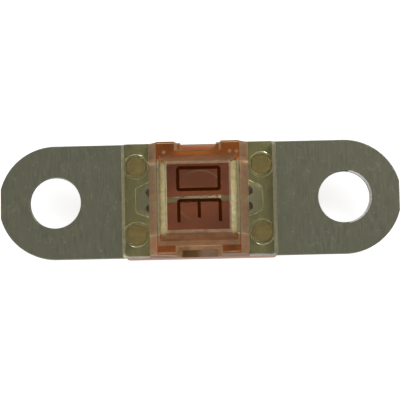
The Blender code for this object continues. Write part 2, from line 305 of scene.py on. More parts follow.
class CoverLook(PropertyGroup):
    edge_round: FloatProperty(
        name="Edge rounding", description="Radius on the moulded edges", default=COVER_ROUNDING, unit="LENGTH"
    )
    tint: FloatVectorProperty(
        name="Tint", description="Colour that light takes on inside the plastic",
        default=(0.975, 0.95, 0.76), subtype="COLOR",
    )
    tint_density: FloatProperty(
        name="Tint density", description="How fast the plastic tints the light, per metre", default=1000
    )
    roughness: FloatProperty(
        name="Roughness", description="How matt the plastic is", default=0.04, subtype="FACTOR"
    )


class BaseLook(PropertyGroup):
    edge_round: FloatProperty(
        name="Edge rounding", description="Radius on the moulded edges", default=0.07 * MM, unit="LENGTH"
    )
    colour: FloatVectorProperty(
        name="Base colour", description="Colour of the moulded base",
        default=(0.56, 0.152, 0.055), subtype="COLOR",
    )
    # Painted shade on the base's edge in the near notch
    near_notch_shade: FloatVectorProperty(
        name="Near notch shade", description="Colour of the painted shade on the base's edge in the near notch",
        default=(0.26, 0.17, 0.13), subtype="COLOR",
    )
    far_notch_pale: FloatVectorProperty(
        name="Far notch pale", description="Colour of the base's edge in the far notch",
        default=(0.5, 0.37, 0.3), subtype="COLOR",
    )
    dark_spot: FloatVectorProperty(
        name="Dark spot", description="Colour of the dark spot beside the painted shade",
        default=(0.11, 0.055, 0.02), subtype="COLOR",
    )
    # Painted shade: a duller, darker colour on the base's long sides
    dull: FloatVectorProperty(
        name="Side shade", description="Colour of the painted shade on the base's long sides",
        default=(0.2, 0.18, 0.1), subtype="COLOR",
    )
    roughness: FloatProperty(
        name="Roughness", description="How matt the base is", default=0.4, subtype="FACTOR"
    )


class PrintLook(PropertyGroup):
    stroke: FloatProperty(
        name="Stroke", description="Width of the printed strokes", default=0.33 * MM, unit="LENGTH"
    )
    thickness: FloatProperty(
        name="Ink thickness", description="Height of the ink above the window",
        default=0.012 * MM, unit="LENGTH",
    )
    colour: FloatVectorProperty(
        name="Ink colour", description="Colour of the print", default=(0.032, 0.0065, 0.001), subtype="COLOR"
    )


class StageLook(PropertyGroup):
    floor_size: FloatProperty(
        name="Floor size", description="Side of the floor", default=0.8, unit="LENGTH"
    )
    floor_colour: FloatVectorProperty(
        name="Floor colour", description="Colour of the floor", default=(0.9, 0.9, 0.9), subtype="COLOR"
    )
    horizon: FloatProperty(
        name="Horizon", description="Brightness of the surroundings, low down", default=0.7
    )
    zenith: FloatProperty(
        name="Zenith", description="Brightness of the surroundings, overhead", default=0.21
    )
    key_power: FloatProperty(
        name="Key lamp", description="Power of the main lamp", default=1.0, unit="POWER"
    )
    fill_power: FloatProperty(
        name="Fill lamp", description="Power of the second lamp", default=0.85, unit="POWER"
    )
    camera_distance: FloatProperty(
        name="Camera distance", description="Camera to the top of the strip", default=0.16, unit="LENGTH"
    )


# Outlines


def rounded_rectangle(half_x, half_y, radius):
    """Points of a rectangle with round corners, counter-clockwise."""
    points = []
    for quarter in range(4):
        centre_x = (half_x - radius) * (1 if quarter in (0, 3) else -1)
        centre_y = (half_y - radius) * (1 if quarter in (0, 1) else -1)
        for step in range(CORNER_STEPS + 1):
            angle = math.radians(90) * (quarter + step / CORNER_STEPS)
            points.append((centre_x + radius * math.cos(angle), centre_y + radius * math.sin(angle)))
    return points


def rectangle(low_x, high_x, low_y, high_y):
    """Corners of a rectangle, counter-clockwise."""
    return [(low_x, low_y), (high_x, low_y), (high_x, high_y), (low_x, high_y)]


def circle(centre, radius, steps):
    """Points of a circle, counter-clockwise."""
    turn = 2 * math.pi / steps
    return [
        (centre[0] + radius * math.cos(turn * step), centre[1] + radius * math.sin(turn * step))
        for step in range(steps)
    ]


def arc(centre, radius, start_deg, end_deg, steps):
    """Points of an arc from one angle to another, both ends with it."""
    points = []
    for step in range(steps + 1):
        angle = math.radians(start_deg + (end_deg - start_deg) * step / steps)
        points.append((centre[0] + radius * math.cos(angle), centre[1] + radius * math.sin(angle)))
    return points


def inset(outline, distance):
    """Outline moved inwards, with as many points."""
    moved = []
    for place, point in enumerate(outline):
        here = Vector(point)
        first = (here - Vector(outline[place - 1])).normalized()
        second = (Vector(outline[(place + 1) % len(outline)]) - here).normalized()
        inward = Vector((-first.y - second.y, first.x + second.x))
        moved.append(tuple(here + inward * distance / (1 + first.dot(second))))
    return moved


def between(first, second, height):
    """Outline at a height between or past two levels of a loft."""
    share = (height - first[1]) / (second[1] - first[1])
    return [
        (ax + share * (bx - ax), ay + share * (by - ay)) for (ax, ay), (bx, by) in zip(first[0], second[0])
    ]


def rim(neighbour, last, radius):
    """Levels that round a loft's last level; a radius below zero flares it out instead."""
    reach = math.copysign(abs(radius), last[1] - neighbour[1])
    levels = []
    for step in range(RIM_STEPS + 1):
        angle = math.radians(90) * step / RIM_STEPS
        height = last[1] - reach * (1 - math.sin(angle))
        levels.append((inset(between(neighbour, last, height), radius * (1 - math.cos(angle))), height))
    return levels


def eased(levels, low=0.0, high=0.0):
    """Levels of a loft with its lower and upper rims rounded."""
    start = list(reversed(rim(levels[1], levels[0], low))) if low else levels[:1]
    end = rim(levels[-2], levels[-1], high) if high else levels[-1:]
    return start + levels[1:-1] + end


def mirrored_outline(quadrant):
    """Whole outline, counter-clockwise, from the points of its +X +Y quadrant, which run clockwise."""
    upper_right = list(reversed(quadrant))
    upper_left = [(-x, y) for x, y in quadrant]
    lower_left = [(-x, -y) for x, y in upper_right]
    lower_right = [(x, -y) for x, y in quadrant]
    return upper_right + upper_left + lower_left + lower_right


# Solids


def add_loft(bm, levels):
    """Closed skin through outlines with equally many points, given with their heights from bottom to top."""
    rings = [[bm.verts.new((x, y, z)) for x, y in outline] for outline, z in levels]
    for low, high in zip(rings, rings[1:]):
        for here in range(len(low)):
            after = (here + 1) % len(low)
            bm.faces.new((low[here], low[after], high[after], high[here]))
    bm.faces.new(list(reversed(rings[0])))
    bm.faces.new(rings[-1])


def solid(name, *lofts):
    """Object made of one closed skin for each list of levels."""
    bm = bmesh.new()
    for levels in lofts:
        add_loft(bm, levels)
    mesh = bpy.data.meshes.new(name)
    bm.to_mesh(mesh)
    bm.free()
    item = bpy.data.objects.new(name, mesh)
    bpy.context.scene.collection.objects.link(item)
    return item


def apply_modifiers(item):
    """Turns the object's modifiers into plain mesh."""
    graph = bpy.context.evaluated_depsgraph_get()
    mesh = bpy.data.meshes.new_from_object(item.evaluated_get(graph))
    old = item.data
    item.modifiers.clear()
    item.data = mesh
    bpy.data.meshes.remove(old)


def boolean(target, tool, operation):
    """Cuts the tool out of the target or joins it on, and removes the tool."""
    step = target.modifiers.new("shape", "BOOLEAN")
    step.operation = operation
    step.solver = "EXACT"
    step.object = tool
    apply_modifiers(target)
    bpy.data.objects.remove(tool, do_unlink=True)


def cut(target, tool):
    boolean(target, tool, "DIFFERENCE")


def join(target, tool):
    boolean(target, tool, "UNION")


def merge_points(mesh):
    """Merges points that lie on top of each other after a cut."""
    bm = bmesh.new()
    bm.from_mesh(mesh)
    bmesh.ops.remove_doubles(bm, verts=bm.verts, dist=MERGE_DISTANCE)
    bmesh.ops.dissolve_degenerate(bm, edges=bm.edges, dist=MERGE_DISTANCE)
    bm.to_mesh(mesh)
    bm.free()


def finish_shape(item):
    """Smooth rims, flat flats and sharp corners."""
    merge_points(item.data)
    item.data.shade_smooth()
    item.data.set_sharp_from_angle(angle=math.radians(40))
    step = item.modifiers.new("shading", "WEIGHTED_NORMAL")
    step.keep_sharp = True
    apply_modifiers(item)


# Surfaces


def new_group(name, inputs, outputs):
    """Empty shader node group with its input and output nodes."""
    group = bpy.data.node_groups.new(name, "ShaderNodeTree")
    for label, kind, default in inputs:
        made = group.interface.new_socket(label, in_out="INPUT", socket_type=kind)
        if default is not None:
            made.default_value = default
    for label, kind in outputs:
        group.interface.new_socket(label, in_out="OUTPUT", socket_type=kind)
    return group, group.nodes.new("NodeGroupInput"), group.nodes.new("NodeGroupOutput")


def feed(tree, made, **inputs):
    """Sets or links the inputs of a node, named by socket or by number as in_0."""
    for key, value in inputs.items():
        place = int(key[3:]) if key.startswith("in_") else key.replace("_", " ")
        socket = made.inputs[place]
        if isinstance(value, bpy.types.NodeSocket):
            tree.links.new(value, socket)
        else:
            socket.default_value = value


def node(tree, kind, settings=(), **inputs):
    """New node with its settings and its inputs."""
    made = tree.nodes.new(kind)
    for key, value in dict(settings).items():
        setattr(made, key, value)
    feed(tree, made, **inputs)
    return made


def math_node(tree, operation, first, second=0.0):
    """Result of one step of arithmetic."""
    return node(tree, "ShaderNodeMath", {"operation": operation}, in_0=first, in_1=second).outputs[0]


def product(tree, *values):
    """All values multiplied."""
    result = values[0]
    for value in values[1:]:
        result = math_node(tree, "MULTIPLY", result, value)
    return result


def ramp(tree, value, low, high, start=0.0, end=1.0):
    """Value mapped smoothly from low..high to start..end."""
    made = node(
        tree, "ShaderNodeMapRange", {"interpolation_type": "SMOOTHSTEP"},
        in_0=value, in_1=low, in_2=high, in_3=start, in_4=end,
    )
    return made.outputs[0]


def noise(tree, vector, scale, detail, roughness):
    """Cloudy value around 0.5."""
    made = node(
        tree, "ShaderNodeTexNoise", Vector=vector, Scale=scale, Detail=detail, Roughness=roughness
    )
    return made.outputs[0]


def mix_colour(tree, factor, first, second):
    """Mix of two colours, each a socket or red, green and blue."""
    first, second = (
        value if isinstance(value, bpy.types.NodeSocket) else (*value, 1.0) for value in (first, second)
    )
    made = node(tree, "ShaderNodeMix", {"data_type": "RGBA"}, in_0=factor, in_6=first, in_7=second)
    return made.outputs[2]


def shaded(colour, factor):
    """Colour made darker or lighter."""
    return tuple(factor * part for part in colour)


def make_grain_group():
    """Fine grain of a surface: value around 0.5, in strokes along Y when stretched."""
    group, start, end = new_group(
        "surface_grain",
        [("Vector", "NodeSocketVector", None), ("Scale", "NodeSocketVector", (1.0, 1.0, 1.0))],
        [("Grain", "NodeSocketFloat"), ("Cloud", "NodeSocketFloat")],
    )
    scaled = node(
        group, "ShaderNodeVectorMath", {"operation": "MULTIPLY"},
        in_0=start.outputs["Vector"], in_1=start.outputs["Scale"],
    ).outputs[0]
    group.links.new(noise(group, scaled, 1.0, 4.0, 0.6), end.inputs["Grain"])
    group.links.new(noise(group, start.outputs["Vector"], 0.4, 3.0, 0.55), end.inputs["Cloud"])
    return group


def make_scratch_group():
    """Sparse curly scratches and small nicks: masks from 0 to 1."""
    group, start, end = new_group(
        "scratches",
        [
            ("Vector", "NodeSocketVector", None),
            ("Scale", "NodeSocketFloat", 1.0),
            ("Width", "NodeSocketFloat", 0.02),
            ("Share", "NodeSocketFloat", 0.5),
        ],
        [("Scratches", "NodeSocketFloat"), ("Nicks", "NodeSocketFloat")],
    )
    vector = start.outputs["Vector"]
    wander = node(group, "ShaderNodeTexNoise", Vector=vector, Scale=1.1, Detail=2.0).outputs[1]
    wander = node(group, "ShaderNodeVectorMath", {"operation": "SCALE"}, in_0=wander, in_3=1.3).outputs[0]
    bent = node(group, "ShaderNodeVectorMath", {"operation": "ADD"}, in_0=vector, in_1=wander).outputs[0]
    cells = node(
        group, "ShaderNodeTexVoronoi", {"feature": "DISTANCE_TO_EDGE"},
        Vector=bent, Scale=start.outputs["Scale"],
    ).outputs["Distance"]
    line = ramp(group, cells, start.outputs["Width"], 0.0)
    patches = noise(group, vector, 0.9, 3.0, 0.6)
    threshold = math_node(group, "SUBTRACT", 1.0, start.outputs["Share"])
    shown = ramp(group, patches, threshold, math_node(group, "ADD", threshold, 0.08))
    group.links.new(product(group, line, shown), end.inputs["Scratches"])
    dots = node(group, "ShaderNodeTexVoronoi", {"feature": "F1"}, Vector=vector, Scale=1.4)
    dot = ramp(group, dots.outputs["Distance"], 0.05, 0.13, 1.0, 0.0)
    picked = node(group, "ShaderNodeSeparateColor", in_0=dots.outputs["Color"]).outputs[0]
    picked = math_node(group, "GREATER_THAN", picked, 0.82)
    group.links.new(product(group, dot, picked), end.inputs["Nicks"])
    return group


def place_group(tree, name, maker, **inputs):
    """Node that holds the shared group of that name, which is made on first use."""
    made = tree.nodes.new("ShaderNodeGroup")
    made.node_tree = bpy.data.node_groups.get(name) or maker()
    feed(tree, made, **inputs)
    return made


def surface_grain(tree, coords, scale):
    """The shared grain, finer along an axis with a larger scale."""
    return place_group(tree, "surface_grain", make_grain_group, Vector=coords, Scale=scale)


def new_material(name):
    """Material with an empty tree, its Principled shader and coordinates in millimetres."""
    made = bpy.data.materials.new(name)
    made.use_nodes = True
    tree = made.node_tree
    shader = tree.nodes["Principled BSDF"]
    coords = tree.nodes.new("ShaderNodeTexCoord").outputs["Object"]
    coords = node(tree, "ShaderNodeVectorMath", {"operation": "SCALE"}, in_0=coords, in_3=1000.0).outputs[0]
    return made, tree, shader, coords


def add_bump(tree, shader, height, strength):
    """Small unevenness of the surface."""
    bump = node(tree, "ShaderNodeBump", Height=height, Strength=strength, Distance=BUMP_DISTANCE)
    feed(tree, shader, Normal=bump.outputs[0])


def metal_material(look):
    """Dull metal with brushed grain, clouds, scratches and nicks, darker on its edges; the link is paler."""
    made, tree, shader, coords = new_material("stamped_metal")
    grain = surface_grain(tree, coords, (7.0, 0.7, 3.0))
    marks = place_group(
        tree, "scratches", make_scratch_group, Vector=coords, Scale=0.9, Width=0.035, Share=0.5
    )
    strokes, scratches = grain.outputs["Grain"], marks.outputs["Scratches"]
    colour, bright = look.colour, shaded(look.colour, 1.8)
    brushed = mix_colour(tree, ramp(tree, strokes, 0.3, 0.7), shaded(colour, 0.88), shaded(colour, 1.1))
    clouded = mix_colour(tree, ramp(tree, grain.outputs["Cloud"], 0.35, 0.65), brushed, colour)
    with_lines = mix_colour(tree, product(tree, scratches, 0.5), clouded, bright)
    with_nicks = mix_colour(tree, product(tree, marks.outputs["Nicks"], 0.45), with_lines, bright)
    place = node(tree, "ShaderNodeSeparateXYZ", in_0=coords)
    below_top = ramp(
        tree, place.outputs[2], (STRIP_TOP - look.edge_round) / MM, STRIP_TOP / MM - 0.01, 1.0, 0.0
    )
    edged = mix_colour(tree, below_top, with_nicks, shaded(colour, 0.35))
    on_link = ramp(tree, math_node(tree, "ABSOLUTE", place.outputs[0]), *LINK_COLOUR_END, 1.0, 0.0)
    rough = ramp(tree, strokes, 0.25, 0.75, look.roughness - 0.03, look.roughness + 0.04)
    feed(tree, shader, Base_Color=mix_colour(tree, on_link, edged, look.link), Roughness=rough, Metallic=0.9)
    height = math_node(tree, "ADD", strokes, product(tree, scratches, 0.4))
    add_bump(tree, shader, height, 0.12)
    return made


def bare_metal_and_highlight_material(name, dark, light):
    """Light metal: a painted highlight on the burr, and bare bright metal where the strip is worn."""
    made, tree, shader, coords = new_material(name)
    grain = surface_grain(tree, coords, (4.0, 6.0, 4.0))
    sparkle = ramp(tree, grain.outputs["Grain"], 0.38, 0.58)
    feed(tree, shader, Base_Color=mix_colour(tree, sparkle, dark, light), Metallic=0.4, Roughness=0.3)
    return made


def let_lamps_through(tree, shader, colour):
    """Lets the lamps' light pass a see-through surface, in the colour given."""
    rays = tree.nodes.new("ShaderNodeLightPath")
    clear = node(tree, "ShaderNodeBsdfTransparent", Color=colour)
    both = tree.nodes.new("ShaderNodeMixShader")
    feed(tree, both, in_0=rays.outputs["Is Shadow Ray"], in_1=shader.outputs[0], in_2=clear.outputs[0])
    feed(tree, tree.nodes["Material Output"], Surface=both.outputs[0])


def cover_material(look):
    """Clear plastic that tints the light inside it."""
    made, tree, shader, coords = new_material("clear_plastic")
    grain = surface_grain(tree, coords, (2.0, 2.0, 2.0))
    rough = ramp(tree, grain.outputs["Cloud"], 0.4, 0.7, look.roughness, look.roughness + 0.05)
    feed(
        tree, shader, Base_Color=(1.0, 1.0, 1.0, 1.0), Transmission_Weight=1.0, IOR=1.52, Roughness=rough
    )
    add_bump(tree, shader, grain.outputs["Grain"], 0.06)
    let_lamps_through(tree, shader, COVER_SHADOW)
    volume = node(tree, "ShaderNodeVolumeAbsorption", Color=(*look.tint, 1.0), Density=look.tint_density)
    feed(tree, tree.nodes["Material Output"], Volume=volume.outputs[0])
    return made


def cloudy_and_painted_material(name, dark, light, clear, gloss):
    """Part of the clear plastic that throws light back in streaks: cloudy at the staked heads and hazy on the
    deck, elsewhere painted highlights, reflections and shade; clear is its share of clearness.
    """
    made, tree, shader, coords = new_material(name)
    streaks = ramp(tree, surface_grain(tree, coords, (1.0, 2.0, 1.0)).outputs["Grain"], 0.3, 0.7)
    feed(
        tree, shader, Base_Color=mix_colour(tree, streaks, dark, light), Roughness=0.5,
        Specular_IOR_Level=gloss, Transmission_Weight=clear,
    )
    let_lamps_through(tree, shader, CLOUDY_AND_PAINTED_SHADOW)
    return made


def base_material(look):
    """Mottled plastic: on its edge in the near notch painted shade and a dark spot, on its edge in the far
    notch a paler colour, and on its long sides painted shade.
    """
    made, tree, shader, coords = new_material("orange_plastic")
    grain = surface_grain(tree, coords, (5.0, 5.0, 5.0))
    cloud = ramp(tree, grain.outputs["Cloud"], 0.35, 0.65)
    mottled = mix_colour(tree, cloud, look.colour, shaded(look.colour, 0.85))
    x, y, z = node(tree, "ShaderNodeSeparateXYZ", in_0=coords).outputs
    # On the near notch's edge the colour is greyer, as painted shade, and darker towards -X; on the far
    # notch's edge it is paler
    near_notch_colour = mix_colour(tree, ramp(tree, x, *DARK_SPOT_X, 1.0, 0.0), look.near_notch_shade, look.dark_spot)
    width = ramp(tree, math_node(tree, "ABSOLUTE", x), *NOTCH_PAINT_HALF_WIDTH, 1.0, 0.0)
    top = ramp(tree, z, *(BASE_TOP / MM + step for step in NOTCH_PAINT_BELOW_TOP))
    near = product(tree, ramp(tree, y, *NOTCH_PAINT_NEAR_Y, 1.0, 0.0), width, top)
    far = product(tree, ramp(tree, y, *NOTCH_PAINT_FAR_Y, 0.0, 0.9), width, top)
    notch_coloured = mix_colour(tree, far, mix_colour(tree, near, mottled, near_notch_colour), look.far_notch_pale)
    # The long sides are painted with a duller, darker colour as shade
    sides = (BASE_SIDE / MM + step for step in SHADED_SIDE)
    side_shade_mask = ramp(tree, math_node(tree, "ABSOLUTE", y), *sides, 0.0, 0.4)
    rough = ramp(tree, grain.outputs["Grain"], 0.3, 0.7, look.roughness - 0.05, look.roughness + 0.05)
    feed(tree, shader, Base_Color=mix_colour(tree, side_shade_mask, notch_coloured, look.dull), Roughness=rough)
    add_bump(tree, shader, grain.outputs["Grain"], 0.1)
    return made


def ink_material(look):
    """Dark ink, rubbed thin in places."""
    made, tree, shader, coords = new_material("printed_ink")
    rubbed = ramp(tree, surface_grain(tree, coords, (6.0, 6.0, 6.0)).outputs["Grain"], 0.45, 0.75)
    ink = mix_colour(tree, rubbed, look.colour, shaded(look.colour, 3.0))
    feed(tree, shader, Base_Color=ink, Roughness=0.6, Specular_IOR_Level=0.0)
    return made


# Strip


def strip_outline():
    """Whole stamped outline, counter-clockwise, with each point once."""
    bite = (TAB_END, HALF_LINK + ROOT_RADIUS)
    corner = (TAB_END + TAB_CORNER_RADIUS, HALF_STRIP - TAB_CORNER_RADIUS)
    flat_angle = math.degrees(math.asin(TIP_FLAT / 2 / HALF_STRIP))
    quadrant = (
        [(0.0, HALF_LINK)]
        + arc(bite, ROOT_RADIUS, -90, 90, 2 * CORNER_STEPS)
        + arc(corner, TAB_CORNER_RADIUS, 180, 90, CORNER_STEPS)
        + arc((HOLE_X, 0.0), HALF_STRIP, 90, flat_angle, TIP_STEPS)
    )
    points = mirrored_outline(quadrant)
    return [point for place, point in enumerate(points) if point != points[place - 1]]


def add_burr(mesh):
    """Ragged ridge that the punch left on one long edge of the link, coloured light as a painted highlight.
    """
    bm = bmesh.new()
    bm.from_mesh(mesh)
    rows = []
    for step in range(BURR_STEPS + 1):
        share = step / BURR_STEPS
        x = BURR_START + (BURR_END - BURR_START) * share
        # Two waves of different length make the ridge ragged; it grows along the link and ends in points
        rag = 0.5 + 0.25 * math.sin(67 * share) * math.sin(11.3 * share + 1) + 0.25 * math.sin(191 * share)
        size = (0.3 + 0.7 * share) * min(1, 8 * share, 12 * (1 - share))
        outer = HALF_LINK + BURR_OUT * size * (0.5 + 0.5 * rag)
        inner = HALF_LINK - BURR_WIDTH * size * (0.4 + 0.6 * rag)
        crest = STRIP_TOP + BURR_HEIGHT * size * rag
        middle = (inner + 2 * outer) / 3
        profile = [(inner, STRIP_TOP - BURR_SINK), (middle, crest), (outer, STRIP_TOP - BURR_FOOT)]
        rows.append([bm.verts.new((x, y, z)) for y, z in profile])
    made = [bm.faces.new(rows[0]), bm.faces.new(list(reversed(rows[-1])))]
    for low, high in zip(rows, rows[1:]):
        for here in range(3):
            after = (here + 1) % 3
            made.append(bm.faces.new((low[here], high[here], high[after], low[after])))
    for face in made:
        face.material_index = BURR_HIGHLIGHT
    bmesh.ops.recalc_face_normals(bm, faces=made)
    bm.to_mesh(mesh)
    bm.free()


def make_strip(look):
    """Strip with its holes, a painted highlight on the burr and bare bright metal on the worn side of the
    right hole.
    """
    outline = strip_outline()
    edge = look.edge_round
    strip = solid("stamped_strip", eased([(outline, STRIP_BOTTOM), (outline, STRIP_TOP)], edge, edge))
    low, high = STRIP_BOTTOM - CUT_PAST, STRIP_TOP + CUT_PAST
    for side in SIDES:
        hole = circle((side * HOLE_X, 0.0), HOLE_RADIUS, HOLE_STEPS)
        wide = inset(hole, -edge)
        levels = eased([(hole, STRIP_BOTTOM), (hole, STRIP_TOP)], -edge, -edge)
        cut(strip, solid("bolt_hole", [(wide, low)] + levels + [(wide, high)]))
    peg_holes = [circle(place, PEG_RADIUS + FIT, PEG_STEPS) for place in PEG_PLACES]
    cut(strip, solid("peg_holes", *[[(hole, low), (hole, high)] for hole in peg_holes]))
    worn_bottom = STRIP_TOP - look.hole_wear
    worn_hole = circle((HOLE_X, 0.0), HOLE_RADIUS, HOLE_STEPS)
    worn_top = circle((HOLE_X + look.hole_wear / 2, 0.0), HOLE_RADIUS + look.hole_wear / 2, HOLE_STEPS)
    cut(strip, solid("hole_wear", [(worn_hole, worn_bottom), (worn_top, STRIP_TOP), (worn_top, high)]))
    finish_shape(strip)
    materials = strip.data.materials
    materials.append(metal_material(look))
    # The burr's light colour is a painted highlight of the link's edge catching the lamp
    materials.append(bare_metal_and_highlight_material("burr_painted_highlight", (0.32, 0.25, 0.16), (0.9, 0.78, 0.6)))
    materials.append(bare_metal_and_highlight_material("worn_hole_rim", (0.6, 0.6, 0.57), (0.8, 0.8, 0.77)))
    for face in strip.data.polygons:
        x, y, z = face.center
        at_hole = math.dist((x, y), (HOLE_X, 0.0)) < HOLE_RADIUS + look.hole_wear and x > WEAR_START
        if at_hole and z > worn_bottom and 0.2 < face.normal.z < 0.95:
            face.material_index = RUBBED
    add_burr(strip.data)
    return strip


# Cover


def recess_outline():
    """Chamber's narrow extension over both tabs, seen from above."""
    far = TAB_END + RECESS_REACH
    return mirrored_outline([
        (TAB_END, RECESS_MOUTH_HALF), (far - RECESS_CORNER, RECESS_HALF), (far, RECESS_HALF - RECESS_CORNER)
    ])


def block_level(height):
    """Outline of the sloped block at a height."""
    share = (DECK_TOP - height) / (DECK_TOP - FLANK_TOP)
    return rounded_rectangle(DECK_END + share * BLOCK_END_SLOPE, DECK_SIDE, BLOCK_CORNER_RADIUS), height


def window_level(height):
    """Outline of the window's sloped rim at a height."""
    share = (WINDOW_TOP - height) / (WINDOW_TOP - DECK_TOP)
    end = WINDOW_END + share * WINDOW_SLOPE_X
    side = WINDOW_SIDE + share * WINDOW_SLOPE_Y
    return rounded_rectangle(end, side, WINDOW_CORNER_RADIUS), height


def chamber_ring(end, side):
    return rounded_rectangle(end, side, CHAMBER_CORNER_RADIUS)


def chamber_levels():
    """Hollow over the link: its ends lean in twice towards the window, its long sides only under the roof."""
    side = CHAMBER_SIDE - CHAMBER_DRAFT
    deck_end = DECK_END - CHAMBER_ROOF
    roof_end = WINDOW_END - CHAMBER_END_INSET
    eaves_end = roof_end + (deck_end - roof_end) * CHAMBER_EAVES / (WINDOW_TOP - DECK_TOP)
    return [
        (chamber_ring(TAB_END, CHAMBER_SIDE), STRIP_BOTTOM - CUT_PAST),
        (chamber_ring(TAB_END, CHAMBER_SIDE), RECESS_ROOF),
        (chamber_ring(TAB_END - CHAMBER_END_SLOPE, side), RECESS_ROOF + CHAMBER_SHOULDER),
        (chamber_ring(deck_end, side), DECK_TOP - CHAMBER_ROOF),
        (chamber_ring(eaves_end, side), CHAMBER_TOP - CHAMBER_EAVES),
        (chamber_ring(roof_end, WINDOW_SIDE - CHAMBER_SIDE_INSET), CHAMBER_TOP),
    ]


def notch_outline(side, width, depth):
    """Edge-open rectangle in one long side of the cover, seen from above."""
    edges = sorted((side * (COVER_SIDE - depth), side * (COVER_SIDE + CUT_PAST)))
    return rectangle(-width / 2, width / 2, *edges)


def notch_levels(side):
    """Upper part of a notch, which widens towards the deck."""
    widening = (NOTCH_TOP_WIDTH - NOTCH_BOTTOM_WIDTH) / (DECK_TOP - NOTCH_STEP_TOP)
    width_past_deck = NOTCH_TOP_WIDTH + widening * CUT_PAST
    return [
        (notch_outline(side, NOTCH_BOTTOM_WIDTH, NOTCH_DEPTH), NOTCH_STEP_TOP),
        (notch_outline(side, width_past_deck, NOTCH_DEPTH), DECK_TOP + CUT_PAST),
    ]


def notch_step_levels(side):
    """Lower part of a notch, down to the base."""
    outline = notch_outline(side, NOTCH_STEP_WIDTH, NOTCH_STEP_DEPTH)
    return [(outline, STRIP_BOTTOM - CUT_PAST), (outline, NOTCH_STEP_TOP + OVERLAP)]


def peg_levels(place):
    """One peg from its staked head up into the cover, flared where it meets the ceiling of its recess."""
    head = circle(place, HEAD_RADIUS, PEG_STEPS)
    peg = circle(place, PEG_RADIUS, PEG_STEPS)
    shaft = eased([(peg, HEAD_TOP), (peg, COVER_BOTTOM + RELIEF_DEPTH)], high=-PEG_FILLET)
    return [
        (circle(place, HEAD_RADIUS - HEAD_CHAMFER, PEG_STEPS), HEAD_DEPTH),
        (head, HEAD_DEPTH + HEAD_CHAMFER),
        (head, HEAD_TOP),
        *shaft,
        (circle(place, PEG_RADIUS + PEG_FILLET, PEG_STEPS), FLANK_TOP - OVERLAP),
    ]


def cover_shell(edge):
    """Low plate over the tabs, sloped block and window, joined."""
    foot = rounded_rectangle(HOUSING_END, COVER_SIDE, FLANK_CORNER_RADIUS)
    top = rounded_rectangle(HOUSING_END - FLANK_END_DRAFT, COVER_SIDE - FLANK_SIDE_DRAFT, FLANK_CORNER_RADIUS)
    plate = [(foot, STRIP_BOTTOM), (foot, COVER_BOTTOM + FLANK_FOOT), (top, FLANK_TOP)]
    cover = solid("clear_cover", eased(plate, high=edge))
    block = [block_level(FLANK_TOP - OVERLAP), block_level(DECK_TOP)]
    join(cover, solid("block", eased(block, high=edge)))
    window = [window_level(DECK_TOP - OVERLAP), window_level(WINDOW_TOP)]
    join(cover, solid("window", eased(window, high=edge)))
    return cover


def split_where(bm, chosen, places, direction):
    """Cuts the flat faces that the test picks along planes, which leaves their shape as it was."""
    for place in places:
        parts = set()
        for face in bm.faces:
            if chosen(face.calc_center_median(), face.normal):
                parts.update((face, *face.edges, *face.verts))
        bmesh.ops.bisect_plane(
            bm, geom=list(parts), dist=FLAT, plane_co=Vector(direction) * place, plane_no=direction
        )


def split_finishes(mesh):
    """Cuts the cover's slopes, deck, window and long sides where their finish and painted light change."""
    bm = bmesh.new()
    bm.from_mesh(mesh)
    lines = (-PAINTED_LINE_NEAR - PAINTED_LINE_WIDTH, -PAINTED_LINE_NEAR, PAINTED_LINE_FAR, PAINTED_LINE_FAR + PAINTED_LINE_WIDTH)
    split_where(bm, on_slope, lines, ACROSS)
    split_where(bm, on_slope, (-SLOPE_LINE, SLOPE_LINE), ALONG)
    split_where(bm, on_deck, (-PAINTED_EDGE_DECK, NOTCH_DEPTH - COVER_SIDE, -PAINTED_LINE_NEAR, PAINTED_LINE_FAR), ACROSS)
    split_where(bm, on_window_top, (-WINDOW_LINE, WINDOW_LINE), ACROSS)
    split_where(bm, on_plate_side, (-BLOCK_FOOT, BLOCK_FOOT), ALONG)
    split_where(bm, on_block_side, (PAINTED_EDGE_SIDE,), UP)
    bm.to_mesh(mesh)
    bm.free()


def sloped(normal):
    """Whether a face leans outwards, neither level nor upright."""
    return SLOPED[0] < normal.z < SLOPED[1]


def on_block_side(point, normal):
    """Whether a face lies on one of the block's long sides."""
    return abs(normal.y) > SLOPED[1] and abs(point.y) > DECK_SIDE - NEARBY and point.z > FLANK_TOP


def on_plate_side(point, normal):
    """Whether a face lies on one of the long sides of the plate and the block's foot."""
    outside = abs(point.y) > COVER_SIDE - FLANK_SIDE_DRAFT - NEARBY
    return abs(normal.y) > SLOPED[1] and outside and point.z < FLANK_TOP


def on_deck(point, normal):
    """Whether a face is part of the block's flat top."""
    return normal.z > LEVEL and abs(point.z - DECK_TOP) < FLAT


def on_window_top(point, normal):
    """Whether a face is part of the window's flat top."""
    return normal.z > LEVEL and abs(point.z - WINDOW_TOP) < FLAT


def on_slope(point, normal):
    """Whether a face lies on one of the block's sloped ends."""
    outward = normal.x * point.x > 0 and sloped(normal)
    return outward and FLANK_TOP < point.z < DECK_TOP and DECK_END < abs(point.x) < BLOCK_FOOT


def in_dimple(point):
    """Whether a face below the deck belongs to a dimple."""
    near = any(math.dist(point[:2], place) < DIMPLE_SIZE for place in DIMPLE_PLACES)
    return near and point.z < DECK_TOP - FLAT


def on_inner_end(point, normal):
    """Whether a face lies on the upper end walls of the chamber, under the window's ends."""
    inner = WINDOW_END - CHAMBER_END_INSET - NEARBY
    beside = inner < abs(point.x) < DECK_END - CHAMBER_ROOF + FLAT and abs(point.y) < CHAMBER_SIDE
    return beside and DECK_TOP - CHAMBER_ROOF < point.z < CHAMBER_TOP and abs(normal.x) > 0.6


